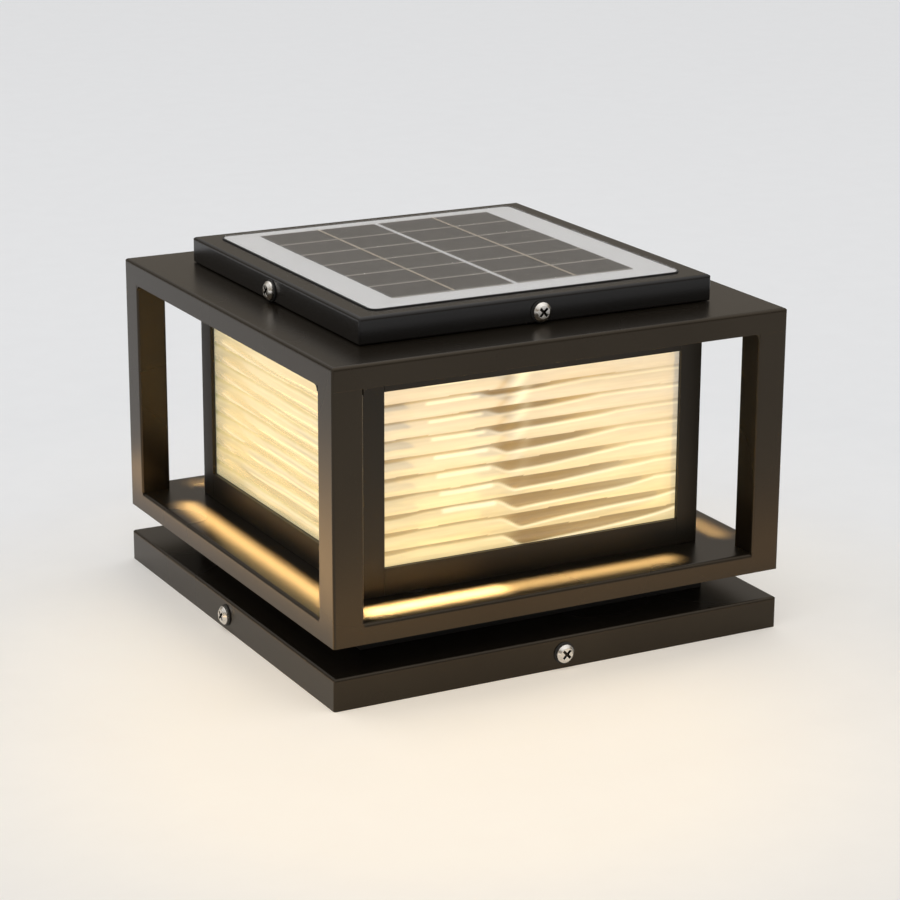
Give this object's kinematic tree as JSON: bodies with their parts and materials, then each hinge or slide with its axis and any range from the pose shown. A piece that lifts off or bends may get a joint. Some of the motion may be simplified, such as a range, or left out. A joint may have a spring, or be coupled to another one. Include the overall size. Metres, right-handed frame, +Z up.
{
  "type": "deck post cap light",
  "caption": "Square solar cap light for a deck post: an open metal cage round a lantern of ribbed glass, with a removable solar lid, on a base tray that drops over a post bracket.",
  "frame": {"origin": "middle of the base, level with its lower edge and the bracket's underside", "axes": "+Z up out of the post, -Y the front, +Y the side with the push switch"},
  "size_m": [0.2564, 0.2564, 0.1834],
  "materials": {
    "bracket_steel": "zinc-plated sheet, matt",
    "bronze_paint": "satin dark bronze paint",
    "neck_paint": "satin black paint",
    "frame_paint": "satin black-bronze paint",
    "lid_paint": "satin black paint",
    "ribbed_glass": "horizontally ribbed clear glass lit from inside",
    "rubber": "matt black rubber",
    "bright_steel": "bright stainless steel",
    "black_plastic": "moulded black plastic",
    "switch_red": "moulded plastic",
    "lamp_aluminium": "satin",
    "white_board": "white board",
    "led_yellow": "phosphor chips",
    "lamp_frost": "frosted tube, lit",
    "white_paint": "white reflector paint",
    "battery_wrap": "shrink-wrapped cells",
    "green_board": "solder-masked board",
    "board_parts": "moulded components",
    "solar_cell": "dark silicon",
    "ribbon": "tinned copper ribbon",
    "clear_resin": "clear resin over the cells"
  },
  "bodies": {
    "bracket": {"mounting_bracket": "bracket_steel"},
    "lamp": {"lid_brackets": "bracket_steel", "base_tray": "bronze_paint", "cage_sill": "bronze_paint", "cage_head": "bronze_paint", "neck_riser": "neck_paint", "cage_post_front_left": "bronze_paint", "lantern_corner_front_left": "frame_paint", "cage_post_front_right": "bronze_paint", "lantern_corner_front_right": "frame_paint", "cage_post_back_right": "bronze_paint", "lantern_corner_back_right": "frame_paint", "cage_post_back_left": "bronze_paint", "lantern_corner_back_left": "frame_paint", "lantern_sill_rail_front": "frame_paint", "lantern_head_rail_front": "frame_paint", "glass_pane_front": "ribbed_glass", "lantern_sill_rail_right": "frame_paint", "lantern_head_rail_right": "frame_paint", "glass_pane_right": "ribbed_glass", "lantern_sill_rail_back": "frame_paint", "lantern_head_rail_back": "frame_paint", "glass_pane_back": "ribbed_glass", "lantern_sill_rail_left": "frame_paint", "lantern_head_rail_left": "frame_paint", "glass_pane_left": "ribbed_glass", "glazing_gaskets": "rubber", "base_screw_washers": "rubber", "switch_seal": "rubber", "bay_seal": "rubber", "base_screws": "bright_steel", "base_screw_nuts": "bright_steel", "neck_nuts": "bright_steel", "frame_screws": "bright_steel", "switch_nut": "bright_steel", "battery_contacts": "bright_steel", "post_plugs": "black_plastic", "battery_bay": "black_plastic", "battery_holder": "black_plastic", "switch_housing": "black_plastic", "lamp_base": "lamp_aluminium", "lamp_core": "lamp_aluminium", "led_strips": "white_board", "led_chips": "led_yellow", "lamp_tube": "lamp_frost", "ceiling_pan": "white_paint", "battery_cells": "battery_wrap", "charge_board": "green_board", "board_parts": "board_parts"},
    "lid": {"lid_shell": "lid_paint", "panel_board": "white_board", "solar_cells": "solar_cell", "cell_ribbons": "ribbon", "panel_cover": "clear_resin", "panel_bead": "rubber", "junction_box": "black_plastic", "lid_screws": "bright_steel", "lid_screw_washers": "rubber", "lid_screw_nuts": "bright_steel"},
    "button": {"switch_button": "switch_red"}
  },
  "joints": [
    {"name": "lamp_lift", "type": "slide", "parent": "bracket", "child": "lamp", "axis": [0, 0, 1], "range_m": [0, 0.04]},
    {"name": "lid_lift", "type": "slide", "parent": "lamp", "child": "lid", "axis": [0, 0, 1], "range_m": [0, 0.05]},
    {"name": "switch_press", "type": "slide", "parent": "lamp", "child": "button", "axis": [0, -1, 0], "range_m": [0, 0.002], "stiffness_N_per_m": 600, "springref_m": -0.001}
  ]
}
